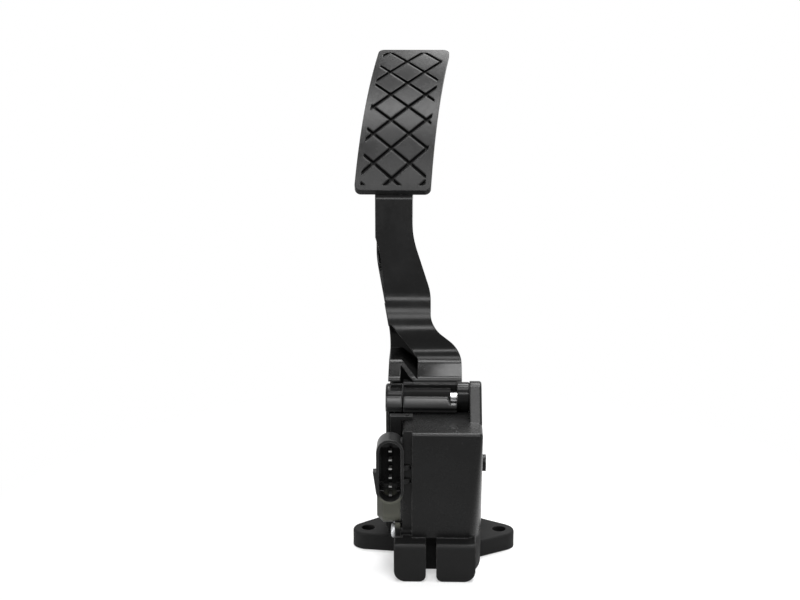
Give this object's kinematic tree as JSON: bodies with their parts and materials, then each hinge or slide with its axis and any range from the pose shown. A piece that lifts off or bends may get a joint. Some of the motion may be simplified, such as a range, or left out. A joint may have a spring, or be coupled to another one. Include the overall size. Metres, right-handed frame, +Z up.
{
  "type": "accelerator_pedal",
  "caption": "Electronic accelerator pedal: black moulded housing with bolt ears, side sensor cover and plug socket, ribbed swan-neck arm and a bowed tread with a diamond groove pattern.",
  "frame": {"origin": "midway between the axes of the two bolt holes, on the underside of the base", "axes": "+X to the right as the driver sees it, along the line of the bolt holes; +Y away from the driver; +Z up, square to the base"},
  "size_m": [0.0826, 0.1876, 0.235],
  "materials": {
    "housing_plastic": "fine-grained black glass-filled nylon",
    "cover_plastic": "satin black moulded plastic",
    "arm_plastic": "satin black moulded plastic",
    "tread_plastic": "fine-grained black plastic, slightly worn",
    "seat_plastic": "natural acetal",
    "shoe_plastic": "tan friction compound",
    "seal_rubber": "soft black seal",
    "stop_rubber": "firm black buffer",
    "zinc_steel": "zinc-plated",
    "shaft_steel": "ground",
    "spring_steel": "phosphated wire",
    "magnet_nickel": "nickel-plated",
    "bush_bronze": "sintered bronze",
    "tinned_contact": "tinned copper alloy",
    "board_laminate": "green coated laminate",
    "chip_resin": "moulded resin"
  },
  "bodies": {
    "base": {"housing": "housing_plastic", "sensor_cover": "cover_plastic", "cover_seal": "seal_rubber", "cover_screws": "zinc_steel", "connector_terminals": "tinned_contact", "circuit_board": "board_laminate", "sensor_chips": "chip_resin", "pivot_shaft": "shaft_steel", "bearing_bushes": "bush_bronze", "outer_spring": "spring_steel", "inner_spring": "spring_steel", "spring_seat": "seat_plastic", "idle_stop": "stop_rubber", "travel_stop": "stop_rubber"},
    "pedal": {"pedal_arm": "arm_plastic", "pedal_pad": "tread_plastic", "pad_clips": "seat_plastic", "hub_bushes": "bush_bronze", "spring_cap": "seat_plastic", "magnet_carrier": "seat_plastic", "sensor_magnets": "magnet_nickel", "friction_shoe": "shoe_plastic"}
  },
  "joints": [
    {"name": "pedal_hinge", "type": "hinge", "parent": "base", "child": "pedal", "pos_m": [0, 0.0015, 0.078], "axis": [-1, 0, 0], "range_deg": [0, 16], "stiffness_Nm_per_rad": 4, "springref_deg": -28.65, "deforming": ["outer_spring", "inner_spring"]}
  ]
}
